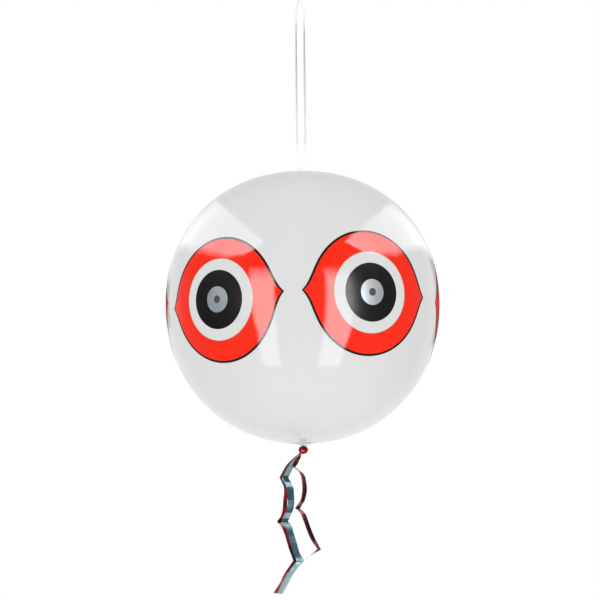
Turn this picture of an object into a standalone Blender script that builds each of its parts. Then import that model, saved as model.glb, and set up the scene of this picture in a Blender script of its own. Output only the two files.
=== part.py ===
"""Bird scare balloon: an inflated film ball with printed eyes, hung on a doubled cord, with a foil streamer.

Metres, +Z up, the front towards -Y. The origin is the top of the inside of the cord's eye, on its hook.
"""

import math

import bmesh
import bpy
from mathutils import Vector

# Ball
BALLOON_RADIUS = 0.200
TOP_HEIGHT = 0.1956
BOTTOM_HEIGHT = 0.2034
TOP_EXPONENT = 2.13
BOTTOM_EXPONENT = 2.08
FILM = 0.0003
GAP = 0.0003
GORES = 5
SEAM_TURN = -3.95
SEAM_FIN = 0.005
GORE_COLUMNS = 8
GORE_ROWS = 18

# Printed eyes, measured along the film from the middle of each eye; the shares are of EYE_RADIUS
EYE_RADIUS = 0.0942
EYE_TIP_SHARE = 1.145
EYE_TIP_SPREAD = 8.0
OUTLINE_WIDTH = 0.0033
RING_SHARE = 0.637
PUPIL_SHARE = 0.460
DISC_SHARE = 0.202
DOT_SHARE = 0.061
PRINT_LIFT = 0.0005
PRINT_THICKNESS = 0.0002
PRINT_ROLLS = (-0.3, 0.6, 1.2, 1.8, 2.9)
PRINT_TURNS = (-1.45, 1.5, 0.4, 2.4, 1.45)
PRINT_RISE_SHARES = (-0.0085, -0.02, -0.03, -0.015, -0.043)
TIP_CROWDING = 0.35
EYE_STEPS = 48
PUPIL_STEPS = 28
DISC_STEPS = 20
DOT_STEPS = 10

# Doubled cord, its eye and its knot
CORD_DIAMETER = 0.003
STRAND_SPACING = 0.012
HANG_DROP = 0.295
LOOP_HEIGHT = 0.028
LOOP_WIDTH = 0.017
LOOP_STEPS = 6
HANG_KNOT_RADIUS = 0.005
HANG_KNOT_WRAPS = 3
KNOT_GROOVE_SHARE = 0.10
STRAND_SPREAD_DROP = 0.030
STRAND_SPREAD_STEPS = 6
STRAND_STEP = 0.009
BIGHT_STEPS = 5

# Tab at the top pole
TAB_BASE_RADIUS = 0.017
TAB_BASE_THICKNESS = 0.0006
TAB_THICKNESS = 0.0012
TAB_HOLE_PLAY = 0.0006
TAB_HOLE_RISE = 0.0008
TAB_MARGIN = 0.0025

# Inflation valve at the bottom pole
FLANGE_RADIUS = 0.0115
FLANGE_THICKNESS = 0.0012
FLANGE_CHAMFER = 0.0004
STEM_RADIUS = 0.0055
STEM_LENGTH = 0.020
BORE_RADIUS = 0.00375
POLE_HOLE_PLAY = 0.0006
PLUG_HEAD_RADIUS = 0.0055
PLUG_HEAD_THICKNESS = 0.0015
PLUG_CHAMFER = 0.0004
PLUG_SHANK_LENGTH = 0.008
PLUG_TIP_LENGTH = 0.002
PLUG_TIP_SHARE = 0.8
FLAP_THICKNESS = 0.0005
FLAP_RADIUS = 0.0049
STRAP_WIDTH = 0.004
STRAP_THICKNESS = 0.0008
STRAP_REACH = 0.0042

# Foil streamer
RIBBON_KNOT_RADIUS = 0.006
CRUMPLE_SHARE = 0.10
TAPE_WIDTH = 0.010
TAPE_THICKNESS = 0.0003
STREAMER_DROP = 0.211
TAPE_STEPS = 3
GATHER_SHARES = (0.30, 0.85)

# Where each strand leaves the knot: side, depth and drop, from the knot's middle, and the tape's turn there
# about the vertical in degrees.
SILVER_LEAVE_SHARES = (-0.90, -0.10, 0.40)
RED_LEAVE_SHARES = (-0.70, 0.55, 0.50)
RIGHT_LEAVE_SHARES = (-0.55, -0.50, 0.65)
LEAVE_TURNS = {"tail_silver": 96, "tail_red": 52, "tail_right": -42}

# Each station of a strand: drop as a share of STREAMER_DROP, side and depth as shares of TAPE_WIDTH, both
# from the knot's middle, the tape's turn about the vertical in degrees, and whether it is creased there.
SILVER_SHARES = (
    (0.100, -1.70, -0.10, 46, False),
    (0.192, -2.74, -0.20, 33, True),
    (0.262, -2.11, -0.05, 7, False),
    (0.322, -2.01, 0.10, 3, False),
    (0.400, -2.07, 0.05, 2, False),
    (0.496, -2.93, -0.10, 4, True),
    (0.528, -2.40, -0.18, -12, False),
    (0.570, -2.12, -0.25, -25, False),
    (0.662, -1.56, -0.40, -25, False),
    (0.720, -1.21, -0.45, -25, False),
    (0.774, -0.61, -0.50, -12, True),
    (0.805, -1.20, -0.46, 30, False),
    (0.862, -2.12, -0.40, 33, False),
    (0.930, -2.93, -0.30, 34, False),
    (1.000, -3.70, -0.20, 36, False),
)
RED_SHARES = (
    (0.100, -2.30, 0.65, 66, False),
    (0.190, -3.41, 0.60, 65, True),
    (0.262, -2.76, 0.60, 64, False),
    (0.345, -2.80, 0.62, 56, False),
    (0.440, -3.01, 0.58, 50, False),
    (0.498, -3.70, 0.52, 48, True),
    (0.530, -3.14, 0.47, 50, False),
    (0.585, -2.70, 0.40, 60, False),
    (0.680, -2.12, 0.28, 58, False),
    (0.772, -1.45, 0.15, 58, True),
    (0.860, -2.80, 0.30, 62, False),
    (0.925, -3.54, 0.30, 70, False),
    (0.993, -4.37, 0.36, 52, False),
)
RIGHT_SHARES = (
    (0.123, -1.55, -0.92, 60, True),
    (0.148, -0.74, -0.50, 60, False),
    (0.180, -0.22, -0.15, 54, False),
    (0.226, -0.02, 0.00, 51, False),
    (0.285, 0.03, 0.10, 48, False),
    (0.345, -0.22, 0.05, 54, False),
    (0.380, -0.66, 0.02, 52, False),
    (0.407, -1.02, 0.00, 46, True),
    (0.442, -0.26, 0.00, 43, False),
    (0.491, 0.15, 0.03, 45, False),
    (0.575, 0.78, 0.07, 45, False),
    (0.637, 1.37, 0.12, 46, False),
    (0.693, 2.08, 0.15, 56, True),
    (0.735, 0.71, 0.40, 96, False),
    (0.775, -0.25, 0.62, 98, False),
)

# Sizes that follow
BALL_CENTRE = -HANG_DROP - TOP_HEIGHT
TOP_POLE = -HANG_DROP
BOTTOM_POLE = BALL_CENTRE - BOTTOM_HEIGHT
POLE_HOLE = STEM_RADIUS + POLE_HOLE_PLAY
CORD_RADIUS = CORD_DIAMETER / 2
KNOT_CENTRE = -LOOP_HEIGHT - GAP - HANG_KNOT_RADIUS
STRAND_TOP = KNOT_CENTRE - HANG_KNOT_RADIUS - GAP
BIGHT_RADIUS = STRAND_SPACING / 2
CORD_PAIR = CORD_RADIUS + GAP / 2
TAB_HOLE_RADIUS = CORD_RADIUS + TAB_HOLE_PLAY
TAB_TOP = TOP_POLE + GAP + TAB_BASE_THICKNESS
TAB_HOLE = TAB_TOP + TAB_HOLE_RISE + TAB_HOLE_RADIUS
BIGHT = TAB_HOLE + TAB_HOLE_RADIUS - GAP - CORD_RADIUS
FLANGE_TOP = BOTTOM_POLE - GAP
FLANGE_BOTTOM = FLANGE_TOP - FLANGE_THICKNESS
STEM_TOP = FLANGE_TOP + STEM_LENGTH
PLUG_TOP = FLANGE_BOTTOM - GAP
PLUG_BOTTOM = PLUG_TOP - PLUG_HEAD_THICKNESS
FLAP_MIDDLE = STEM_TOP + GAP + FLAP_THICKNESS / 2
RIBBON_KNOT = PLUG_BOTTOM - GAP - RIBBON_KNOT_RADIUS
RING_RADIUS = EYE_RADIUS * RING_SHARE
PUPIL_RADIUS = EYE_RADIUS * PUPIL_SHARE
DISC_RADIUS = EYE_RADIUS * DISC_SHARE
DOT_RADIUS = EYE_RADIUS * DOT_SHARE
MERGE = BALLOON_RADIUS / 1e6

COLOURS = {
    "film": ((0.80, 0.81, 0.82), 0.12, 0.0),
    "red_ink": ((0.90, 0.03, 0.01), 0.15, 0.0),
    "black_ink": ((0.01, 0.01, 0.01), 0.15, 0.0),
    "hologram": ((0.62, 0.66, 0.70), 0.20, 1.0),
    "grey_ink": ((0.08, 0.08, 0.07), 0.30, 0.0),
    "clear_vinyl": ((0.75, 0.80, 0.84), 0.10, 0.0),
    "white_vinyl": ((0.78, 0.79, 0.80), 0.30, 0.0),
    "silver_foil": ((0.55, 0.62, 0.66), 0.15, 1.0),
    "red_foil": ((0.40, 0.01, 0.01), 0.20, 1.0),
}


def material(name):
    made = bpy.data.materials.get(name)
    if made is None:
        colour, roughness, metallic = COLOURS[name]
        made = bpy.data.materials.new(name)
        made.use_nodes = True
        shader = made.node_tree.nodes["Principled BSDF"]
        shader.inputs["Base Color"].default_value = (*colour, 1.0)
        shader.inputs["Roughness"].default_value = roughness
        shader.inputs["Metallic"].default_value = metallic
        made.diffuse_color = (*colour, 1.0)
    return made


def pivot(name, place, parent=None):
    """An empty on a joint's axis, which carries the pieces that move on it."""
    empty = bpy.data.objects.new(name, None)
    empty.empty_display_size = HANG_KNOT_RADIUS
    bpy.context.collection.objects.link(empty)
    empty.parent = parent
    empty.location = place - parent.matrix_world.translation if parent else place
    bpy.context.view_layer.update()
    return empty


def carry(obj, look, parent, smooth=True):
    """Give a piece its material and hang it on its joint's empty, where it was drawn."""
    obj.data.materials.append(material(look))
    obj.parent = parent
    obj.location = -parent.matrix_world.translation
    if smooth and obj.type == "MESH":
        obj.data.shade_smooth()
        obj.data.set_sharp_from_angle(angle=math.radians(40))
    return obj


def from_bmesh(name, bm):
    mesh = bpy.data.meshes.new(name)
    bm.to_mesh(mesh)
    bm.free()
    obj = bpy.data.objects.new(name, mesh)
    bpy.context.collection.objects.link(obj)
    return obj


def grid(name, rows, wrap=False, fan=False):
    """A surface through rows of points. wrap joins each row's ends, and fan fills the first row."""
    bm = bmesh.new()
    placed = [[bm.verts.new(p) for p in row] for row in rows]
    for low, high in zip(placed, placed[1:]):
        for i in range(len(low) if wrap else len(low) - 1):
            j = (i + 1) % len(low)
            bm.faces.new((low[i], low[j], high[j], high[i]))
    if fan:
        bm.faces.new(reversed(placed[0]))
    bmesh.ops.recalc_face_normals(bm, faces=bm.faces)
    return from_bmesh(name, bm)


def face_out(obj):
    """Turn a surface on the ball so that its faces point away from the ball's centre."""
    centre = Vector((0, 0, BALL_CENTRE))
    face = max(obj.data.polygons, key=lambda f: (f.center - centre).length)
    if face.normal.dot(face.center - centre) < 0:
        obj.data.flip_normals()


def thicken(obj, thickness, offset):
    made = obj.modifiers.new("thickness", "SOLIDIFY")
    made.thickness = thickness
    made.offset = offset


def lathe(name, profile, steps, ring=False):
    """A turned piece about the Z axis, from its (radius, height) profile; ring closes the profile."""
    bm = bmesh.new()
    verts = [bm.verts.new((r, 0, z)) for r, z in profile]
    pairs = list(zip(verts, verts[1:]))
    if ring:
        pairs.append((verts[-1], verts[0]))
    edges = [bm.edges.new(pair) for pair in pairs]
    bmesh.ops.spin(bm, geom=verts + edges, cent=(0, 0, 0), axis=(0, 0, 1), angle=2 * math.pi, steps=steps)
    bmesh.ops.remove_doubles(bm, verts=bm.verts, dist=MERGE)
    bmesh.ops.recalc_face_normals(bm, faces=bm.faces)
    return from_bmesh(name, bm)


def extruded(name, outline, normal, thickness):
    """A flat plate of an outline, made both ways from its plane."""
    bm = bmesh.new()
    half = Vector(normal) * thickness / 2
    face = bm.faces.new([bm.verts.new(Vector(p) - half) for p in outline])
    grown = bmesh.ops.extrude_face_region(bm, geom=[face])
    moved = [v for v in grown["geom"] if isinstance(v, bmesh.types.BMVert)]
    bmesh.ops.translate(bm, verts=moved, vec=2 * half)
    bmesh.ops.recalc_face_normals(bm, faces=bm.faces)
    return from_bmesh(name, bm)


def boolean(obj, other, operation):
    """Join or cut with a helper that is left out of the model."""
    made = obj.modifiers.new(operation.lower(), "BOOLEAN")
    made.operation = operation
    made.object = other
    other.hide_render = True
    other.display_type = "WIRE"


def smooth_route(points, steps):
    """A smooth curve through route points, by Catmull-Rom, in the given steps from point to point."""
    ends = [2 * points[0] - points[1], *points, 2 * points[-1] - points[-2]]
    route = []
    for a, b, c, d in zip(ends, ends[1:], ends[2:], ends[3:]):
        for i in range(steps):
            t = i / steps
            swept = 2 * b + (c - a) * t + (2 * a - 5 * b + 4 * c - d) * t**2 + (3 * b - a - 3 * c + d) * t**3
            route.append(swept / 2)
    return [*route, points[-1]]


def cord(name, route):
    """A round cord along a route, with filled ends."""
    curve = bpy.data.curves.new(name, "CURVE")
    curve.dimensions = "3D"
    curve.bevel_depth = CORD_RADIUS
    curve.bevel_resolution = 2
    curve.use_fill_caps = True
    spline = curve.splines.new("POLY")
    spline.points.add(len(route) - 1)
    for point, place in zip(spline.points, route):
        point.co = (*place, 1.0)
    obj = bpy.data.objects.new(name, curve)
    bpy.context.collection.objects.link(obj)
    return obj


def heading(turn):
    """The level direction at a turn from the front, in radians, positive towards +X."""
    return Vector((math.sin(turn), -math.cos(turn), 0))


def reach(rise):
    """How far the film lies from the ball's centre at an angle above its widest line."""
    height, power = (TOP_HEIGHT, TOP_EXPONENT) if rise > 0 else (BOTTOM_HEIGHT, BOTTOM_EXPONENT)
    wide = (math.cos(rise) / BALLOON_RADIUS) ** power
    tall = (abs(math.sin(rise)) / height) ** power
    return (wide + tall) ** (-1 / power)


def profile(rise):
    """The film's (radius, height) at an angle above the ball's widest line."""
    return reach(rise) * math.cos(rise), BALL_CENTRE + reach(rise) * math.sin(rise)


def pole_rise(radius, height, power):
    """The angle at which the film passes a radius near a pole."""
    return math.atan2(height * (1 - (radius / BALLOON_RADIUS) ** power) ** (1 / power), radius)


def film_height(radius):
    """The film's height at a radius near the top pole."""
    return profile(pole_rise(radius, TOP_HEIGHT, TOP_EXPONENT))[1]


def outward(rise):
    """The film's outward direction in its (radius, height) profile."""
    step = 1e-4
    low, high = profile(rise - step), profile(rise + step)
    along = Vector((high[0] - low[0], high[1] - low[1])).normalized()
    return along.y, -along.x


def gore(number, parent):
    """One film panel, whose edges turn in as fins that are welded to its neighbours' fins."""
    first = math.radians(SEAM_TURN) + (number - 1) * 2 * math.pi / GORES
    last = first + 2 * math.pi / GORES
    top = pole_rise(POLE_HOLE, TOP_HEIGHT, TOP_EXPONENT)
    bottom = -pole_rise(POLE_HOLE, BOTTOM_HEIGHT, BOTTOM_EXPONENT)
    rows = []
    for j in range(GORE_ROWS + 1):
        rise = bottom + (top - bottom) * j / GORE_ROWS
        radius, height = profile(rise)
        out_r, out_z = outward(rise)
        fin_radius, fin_height = radius - SEAM_FIN * out_r, height - SEAM_FIN * out_z
        edges = []
        for turn, side in ((first, 1), (last, -1)):
            across = heading(turn + math.pi / 2) * side * GAP / 2
            tip = heading(turn) * fin_radius + across + Vector((0, 0, fin_height))
            edge = heading(turn) * radius + across + Vector((0, 0, height))
            edges.append((tip, edge))
        middle = []
        for i in range(1, GORE_COLUMNS):
            turn = first + (last - first) * i / GORE_COLUMNS
            middle.append(heading(turn) * radius + Vector((0, 0, height)))
        rows.append([*edges[0], *middle, *reversed(edges[1])])
    obj = grid(f"gore_{number}", rows)
    face_out(obj)
    thicken(obj, FILM, -1)
    return carry(obj, "film", parent)


def eye_place(number):
    """The direction of an eye's middle, and the directions to its right and to its top along the film."""
    printed = (number - 1) % len(PRINT_TURNS)
    turn = math.radians(SEAM_TURN + (number - 0.5) * 360 / GORES + PRINT_TURNS[printed])
    rise = PRINT_RISE_SHARES[printed]
    middle = heading(turn) * math.cos(rise) + Vector((0, 0, math.sin(rise)))
    right = heading(turn + math.pi / 2)
    up = middle.cross(right)
    up = up if up.z > 0 else -up
    roll = math.radians(PRINT_ROLLS[printed])
    return middle, right * math.cos(roll) + up * math.sin(roll), up * math.cos(roll) - right * math.sin(roll)


def on_film(eye, bearing, distance):
    """A point just off the film, at a bearing and a distance along the film from an eye's middle."""
    middle, right, up = eye
    angle = distance / BALLOON_RADIUS
    direction = middle * math.cos(angle)
    direction += (right * math.cos(bearing) + up * math.sin(bearing)) * math.sin(angle)
    length = reach(math.asin(max(-1.0, min(1.0, direction.z)))) + PRINT_LIFT
    return direction * length + Vector((0, 0, BALL_CENTRE))


def eye_edge(bearing):
    """The eye's outer edge: a round that draws out to a point on its left and on its right."""
    off_tip = math.degrees(abs(math.asin(math.sin(bearing))))
    return EYE_RADIUS * (1 + (EYE_TIP_SHARE - 1) * math.exp(-off_tip / EYE_TIP_SPREAD))


def skin(name, eye, inner, outer, steps, rings, crowding, look, parent):
    """A thin printed ring round an eye's middle, between two edges; with no inner edge it is a disc."""
    bearings = []
    for i in range(steps):
        bearing = 2 * math.pi * i / steps
        bearings.append(bearing - crowding * math.sin(2 * bearing))
    disc = inner is None
    rows = []
    for j in range(1 if disc else 0, rings + 1):
        row = []
        for bearing in bearings:
            start = 0 if disc else inner(bearing)
            row.append(on_film(eye, bearing, start + (outer(bearing) - start) * j / rings))
        rows.append(row)
    if disc and rings == 1:
        bm = bmesh.new()
        bm.faces.new([bm.verts.new(p) for p in rows[0]])
        obj = from_bmesh(name, bm)
    else:
        obj = grid(name, rows, wrap=True, fan=disc)
    face_out(obj)
    thicken(obj, PRINT_THICKNESS, 1)
    return carry(obj, look, parent)


def printed_eye(number, parent):
    """The five printed and stuck layers of one eye, side by side on the film."""
    eye = eye_place(number)
    half = GAP / 2

    def outline_inner(bearing):
        return eye_edge(bearing) - OUTLINE_WIDTH + half

    def iris_outer(bearing):
        return eye_edge(bearing) - OUTLINE_WIDTH - half

    def round_edge(distance):
        return lambda bearing: distance

    layers = (
        ("outline", outline_inner, eye_edge, EYE_STEPS, 1, "black_ink", TIP_CROWDING),
        ("iris", round_edge(RING_RADIUS), iris_outer, EYE_STEPS, 2, "red_ink", TIP_CROWDING),
        ("pupil", round_edge(DISC_RADIUS + half), round_edge(PUPIL_RADIUS), PUPIL_STEPS, 2, "black_ink", 0),
        ("disc", round_edge(DOT_RADIUS + half), round_edge(DISC_RADIUS - half), DISC_STEPS, 1, "hologram", 0),
        ("dot", None, round_edge(DOT_RADIUS - half), DOT_STEPS, 1, "grey_ink", 0),
    )
    for layer, inner, outer, steps, rings, look, crowding in layers:
        skin(f"eye_{layer}_{number}", eye, inner, outer, steps, rings, crowding, look, parent)


def spread(narrow, wide, share):
    """How far a strand is from the middle, a share of the way from tied together to fully apart."""
    return narrow + (wide - narrow) * (3 - 2 * share) * share**2


def hang_loop(parent):
    """The eye at the top of the doubled cord: a half round over the hook, drawn together at the knot."""
    wide = LOOP_WIDTH / 2
    crown = CORD_RADIUS - wide
    right = []
    for i in range(LOOP_STEPS):
        share = i / LOOP_STEPS
        right.append(Vector((spread(CORD_PAIR, wide, share), 0, crown - (crown + LOOP_HEIGHT) * (1 - share))))
    for i in range(LOOP_STEPS + 1):
        angle = math.pi / 2 * i / LOOP_STEPS
        right.append(Vector((wide * math.cos(angle), 0, crown + wide * math.sin(angle))))
    left = [Vector((-p.x, 0, p.z)) for p in reversed(right[:-1])]
    return carry(cord("hang_loop", [*right, *left]), "clear_vinyl", parent, smooth=False)


def hang_knot(parent):
    """A knot with wraps round the doubled cord."""
    rings = 6 * HANG_KNOT_WRAPS
    points = []
    for i in range(rings + 1):
        angle = math.pi * (i / rings - 0.5)
        groove = KNOT_GROOVE_SHARE * math.cos(math.pi * HANG_KNOT_WRAPS * i / rings) ** 2
        radius = HANG_KNOT_RADIUS * (1 - groove)
        flat = 0 if i in (0, rings) else radius * math.cos(angle)
        points.append((flat, KNOT_CENTRE + radius * math.sin(angle)))
    return carry(lathe("hang_knot", points, 14), "clear_vinyl", parent)


def hang_cord(parent):
    """Both strands in one length: down from the knot, through the tab's hole and up again."""
    side = STRAND_SPACING / 2
    apart = []
    for i in range(STRAND_SPREAD_STEPS + 1):
        share = i / STRAND_SPREAD_STEPS
        apart.append(Vector((spread(CORD_PAIR, side, share), 0, STRAND_TOP - STRAND_SPREAD_DROP * share)))
    low = BIGHT + BIGHT_RADIUS
    runs = round((apart[-1].z - low) / STRAND_STEP)
    straight = [apart[-1].lerp(Vector((side, 0, low)), i / runs) for i in range(1, runs)]
    bend = []
    for i in range(BIGHT_STEPS + 1):
        angle = math.pi / 2 * i / BIGHT_STEPS
        bend.append(Vector((side * math.cos(angle), 0, low - BIGHT_RADIUS * math.sin(angle))))
    right = [*apart, *straight, *bend]
    left = [Vector((-p.x, 0, p.z)) for p in reversed(right[:-1])]
    return carry(cord("hang_cord", [*right, *left]), "clear_vinyl", parent, smooth=False)


def hang_tab(parent):
    """A domed base welded over the top pole, with an upright ear that the cord runs through."""
    low, high = [], []
    for i in range(4):
        radius = TAB_BASE_RADIUS * i / 3
        rest = film_height(radius) + GAP if i else TOP_POLE + GAP
        low.append((radius, rest))
        high.append((radius, rest + TAB_BASE_THICKNESS))
    obj = lathe("hang_tab", [*low, *reversed(high)], 24)
    half = TAB_HOLE_RADIUS + TAB_MARGIN
    foot = TAB_TOP - TAB_BASE_THICKNESS / 2
    outline = [(0, half, foot)]
    for i in range(13):
        angle = math.pi * i / 12
        outline.append((0, half * math.cos(angle), TAB_HOLE + half * math.sin(angle)))
    outline.append((0, -half, foot))
    ear = extruded("tab_ear", outline, (1, 0, 0), TAB_THICKNESS)
    ring = []
    for i in range(20):
        angle = 2 * math.pi * i / 20
        ring.append((0, TAB_HOLE_RADIUS * math.cos(angle), TAB_HOLE + TAB_HOLE_RADIUS * math.sin(angle)))
    hole = extruded("tab_hole", ring, (1, 0, 0), 2 * TAB_THICKNESS)
    boolean(obj, ear, "UNION")
    boolean(obj, hole, "DIFFERENCE")
    return carry(obj, "clear_vinyl", parent)


def valve_body(parent):
    """A flange outside the film, and a stem through the pole's hole with a bore right through."""
    outline = [
        (BORE_RADIUS, FLANGE_BOTTOM),
        (FLANGE_RADIUS - FLANGE_CHAMFER, FLANGE_BOTTOM),
        (FLANGE_RADIUS, FLANGE_BOTTOM + FLANGE_CHAMFER),
        (FLANGE_RADIUS, FLANGE_TOP - FLANGE_CHAMFER),
        (FLANGE_RADIUS - FLANGE_CHAMFER, FLANGE_TOP),
        (STEM_RADIUS, FLANGE_TOP),
        (STEM_RADIUS, STEM_TOP),
        (BORE_RADIUS, STEM_TOP),
    ]
    return carry(lathe("valve_body", outline, 24, ring=True), "white_vinyl", parent)


def valve_flap(parent):
    """A thin disc over the stem's inner end, hinged at its back edge."""
    half = FLAP_THICKNESS / 2
    outline = [(0, -half), (FLAP_RADIUS, -half), (FLAP_RADIUS, half), (0, half)]
    obj = lathe("valve_flap", [(r, FLAP_MIDDLE + z) for r, z in outline], 20)
    return carry(obj, "white_vinyl", parent)


def valve_plug(parent):
    """A head under the flange and a shank that is pushed up the bore."""
    shank = BORE_RADIUS - GAP
    shoulder = PLUG_TOP + PLUG_SHANK_LENGTH
    outline = [
        (0, PLUG_BOTTOM),
        (PLUG_HEAD_RADIUS - PLUG_CHAMFER, PLUG_BOTTOM),
        (PLUG_HEAD_RADIUS, PLUG_BOTTOM + PLUG_CHAMFER),
        (PLUG_HEAD_RADIUS, PLUG_TOP),
        (shank, PLUG_TOP),
        (shank, shoulder),
        (shank * PLUG_TIP_SHARE, shoulder + PLUG_TIP_LENGTH),
        (0, shoulder + PLUG_TIP_LENGTH),
    ]
    return carry(lathe("valve_plug", outline, 20), "white_vinyl", parent)


def plug_strap(parent):
    """The strap that keeps the plug on the flange, bent out at the back."""
    high = (FLANGE_TOP + FLANGE_BOTTOM) / 2
    low = (PLUG_TOP + PLUG_BOTTOM) / 2
    out = FLANGE_RADIUS + STRAP_REACH
    route = [
        Vector((0, FLANGE_RADIUS + GAP, high)),
        Vector((0, out - STRAP_THICKNESS, high)),
        Vector((0, out, (high + low) / 2)),
        Vector((0, out - STRAP_THICKNESS, low)),
        Vector((0, (FLANGE_RADIUS + PLUG_HEAD_RADIUS) / 2, low)),
        Vector((0, PLUG_HEAD_RADIUS + GAP, low)),
    ]
    half = Vector((STRAP_WIDTH / 2, 0, 0))
    obj = grid("plug_strap", [[p - half, p + half] for p in route])
    thicken(obj, STRAP_THICKNESS, 0)
    return carry(obj, "white_vinyl", parent)


def ribbon_knot(parent):
    """A hard crumpled knot of foil tape, drawn in by folds from a round."""
    bm = bmesh.new()
    bmesh.ops.create_icosphere(bm, subdivisions=2, radius=RIBBON_KNOT_RADIUS)
    for vert in bm.verts:
        way = vert.co.normalized()
        folds = math.sin(7 * way.x + 5 * way.z) * math.sin(6 * way.y - 4 * way.z + 1)
        folds *= math.cos(5 * way.x * way.y + 2)
        vert.co = way * RIBBON_KNOT_RADIUS * (1 - CRUMPLE_SHARE * abs(folds))
        vert.co.z += RIBBON_KNOT
    return carry(from_bmesh("ribbon_knot", bm), "red_foil", parent, smooth=False)


def station(shares):
    """A strand's middle and its turn as one vector, so that both are swept together."""
    drop, side, depth, turn, _ = shares
    place = (side * TAPE_WIDTH, depth * TAPE_WIDTH, RIBBON_KNOT - drop * STREAMER_DROP)
    return Vector((*place, math.radians(turn)))


def tail(name, leave, table, look, parent):
    """A hanging strand of foil tape, gathered at the knot, smooth between its creases and sharp at them."""
    side, depth, drop = Vector(leave).normalized() * (RIBBON_KNOT_RADIUS + GAP + TAPE_THICKNESS)
    start = Vector((side, depth, RIBBON_KNOT - drop, math.radians(LEAVE_TURNS[name])))
    stations = [start, *(station(shares) for shares in table)]
    creases = [i + 1 for i, shares in enumerate(table) if shares[4]]
    ends = [0, *creases, len(table)]
    route = []
    for first, last in zip(ends, ends[1:]):
        piece = smooth_route(stations[first : last + 1], TAPE_STEPS)
        route += piece if not route else piece[1:]
    rows = []
    for i, place in enumerate(route):
        gather = GATHER_SHARES[i] if i < len(GATHER_SHARES) else 1
        across = Vector((math.cos(place.w), math.sin(place.w), 0)) * gather * TAPE_WIDTH / 2
        rows.append([place.xyz - across, place.xyz + across])
    obj = grid(name, rows)
    thicken(obj, TAPE_THICKNESS, 0)
    return carry(obj, look, parent)


def build():
    for old in list(bpy.data.objects):
        bpy.data.objects.remove(old, do_unlink=True)

    hook = pivot("hang_point", Vector((0, 0, 0)))
    twist = pivot("twist_axis", Vector((0, 0, KNOT_CENTRE)), hook)
    swing = pivot("swing_axis", Vector((0, 0, KNOT_CENTRE)), twist)
    balloon = pivot("balloon_axis", Vector((0, 0, BIGHT)), swing)
    plug = pivot("plug_axis", Vector((0, 0, PLUG_TOP)), balloon)
    flap = pivot("flap_axis", Vector((0, FLAP_RADIUS, FLAP_MIDDLE)), balloon)
    streamer_fore = pivot("streamer_fore_axis", Vector((0, 0, RIBBON_KNOT)), plug)
    streamer_side = pivot("streamer_side_axis", Vector((0, 0, RIBBON_KNOT)), streamer_fore)

    hang_loop(hook)
    hang_knot(twist)
    hang_cord(swing)
    hang_tab(balloon)
    for number in range(1, GORES + 1):
        gore(number, balloon)
        printed_eye(number, balloon)
    valve_body(balloon)
    plug_strap(balloon)
    valve_flap(flap)
    valve_plug(plug)
    ribbon_knot(streamer_fore)
    tail("tail_silver", SILVER_LEAVE_SHARES, SILVER_SHARES, "silver_foil", streamer_side)
    tail("tail_red", RED_LEAVE_SHARES, RED_SHARES, "red_foil", streamer_side)
    tail("tail_right", RIGHT_LEAVE_SHARES, RIGHT_SHARES, "red_foil", streamer_side)


build()
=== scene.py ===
import math

import bmesh
import bpy
from mathutils import Euler, Matrix, Vector, noise


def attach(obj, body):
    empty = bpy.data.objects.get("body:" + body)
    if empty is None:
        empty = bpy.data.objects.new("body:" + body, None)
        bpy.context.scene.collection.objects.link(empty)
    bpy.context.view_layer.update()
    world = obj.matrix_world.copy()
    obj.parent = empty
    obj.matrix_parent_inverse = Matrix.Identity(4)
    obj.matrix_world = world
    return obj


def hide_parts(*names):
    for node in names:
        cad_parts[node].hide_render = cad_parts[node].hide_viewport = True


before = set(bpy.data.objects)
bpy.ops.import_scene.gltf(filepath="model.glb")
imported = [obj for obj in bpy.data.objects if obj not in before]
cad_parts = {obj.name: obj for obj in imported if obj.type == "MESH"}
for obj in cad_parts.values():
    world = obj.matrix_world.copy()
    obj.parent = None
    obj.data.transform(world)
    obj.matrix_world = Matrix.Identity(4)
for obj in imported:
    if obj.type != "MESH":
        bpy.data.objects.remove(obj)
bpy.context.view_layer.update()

# Bird scare balloon: film ball with printed eyes, clear cord, inflation valve and foil streamer.
# Metres and degrees, +Z up, the front towards -Y. What part.py also holds has its name there, and its value
# to a tenth of a millimetre.

BALLOON_RADIUS = 0.200
TOP_HEIGHT = 0.1956
BOTTOM_HEIGHT = 0.2034
TOP_EXPONENT = 2.13
BOTTOM_EXPONENT = 2.08
FILM = 0.0003
GAP = 0.0003
GORES = 5
SEAM_TURN = -3.95
SEAM_FIN = 0.005
EYE_RADIUS = 0.0942
EYE_TIP_SHARE = 1.145
EYE_TIP_SPREAD = 8.0
OUTLINE_WIDTH = 0.0033
RING_RADIUS = 0.0600
PUPIL_RADIUS = 0.0433
DISC_RADIUS = 0.0190
DOT_RADIUS = 0.0057
PRINT_ROLLS = (-0.3, 0.6, 1.2, 1.8, 2.9)
PRINT_TURNS = (-1.45, 1.5, 0.4, 2.4, 1.45)
PRINT_RISE_SHARES = (-0.0085, -0.02, -0.03, -0.015, -0.043)
TIP_CROWDING = 0.35
HANG_DROP = 0.295
BALL_CENTRE = -HANG_DROP - TOP_HEIGHT
TOP_POLE = -HANG_DROP
CORD_DIAMETER = 0.003
CORD_RADIUS = CORD_DIAMETER / 2
CORD_PAIR = CORD_RADIUS + GAP / 2
STRAND_SPACING = 0.012
STRAND_SPREAD_DROP = 0.030
LOOP_HEIGHT = 0.028
LOOP_WIDTH = 0.017
HANG_KNOT_RADIUS = 0.005
HANG_KNOT_WRAPS = 3
HANG_KNOT_HEIGHT_SHARE = 0.98
HANG_KNOT_GROOVE_SHARE = 0.12
KNOT_CENTRE = -0.0333
STRAND_TOP = -0.0386
BIGHT = -0.2909
FLANGE_RADIUS = 0.0115
POLE_HOLE = 0.0061
RIBBON_KNOT = -0.7036
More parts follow.
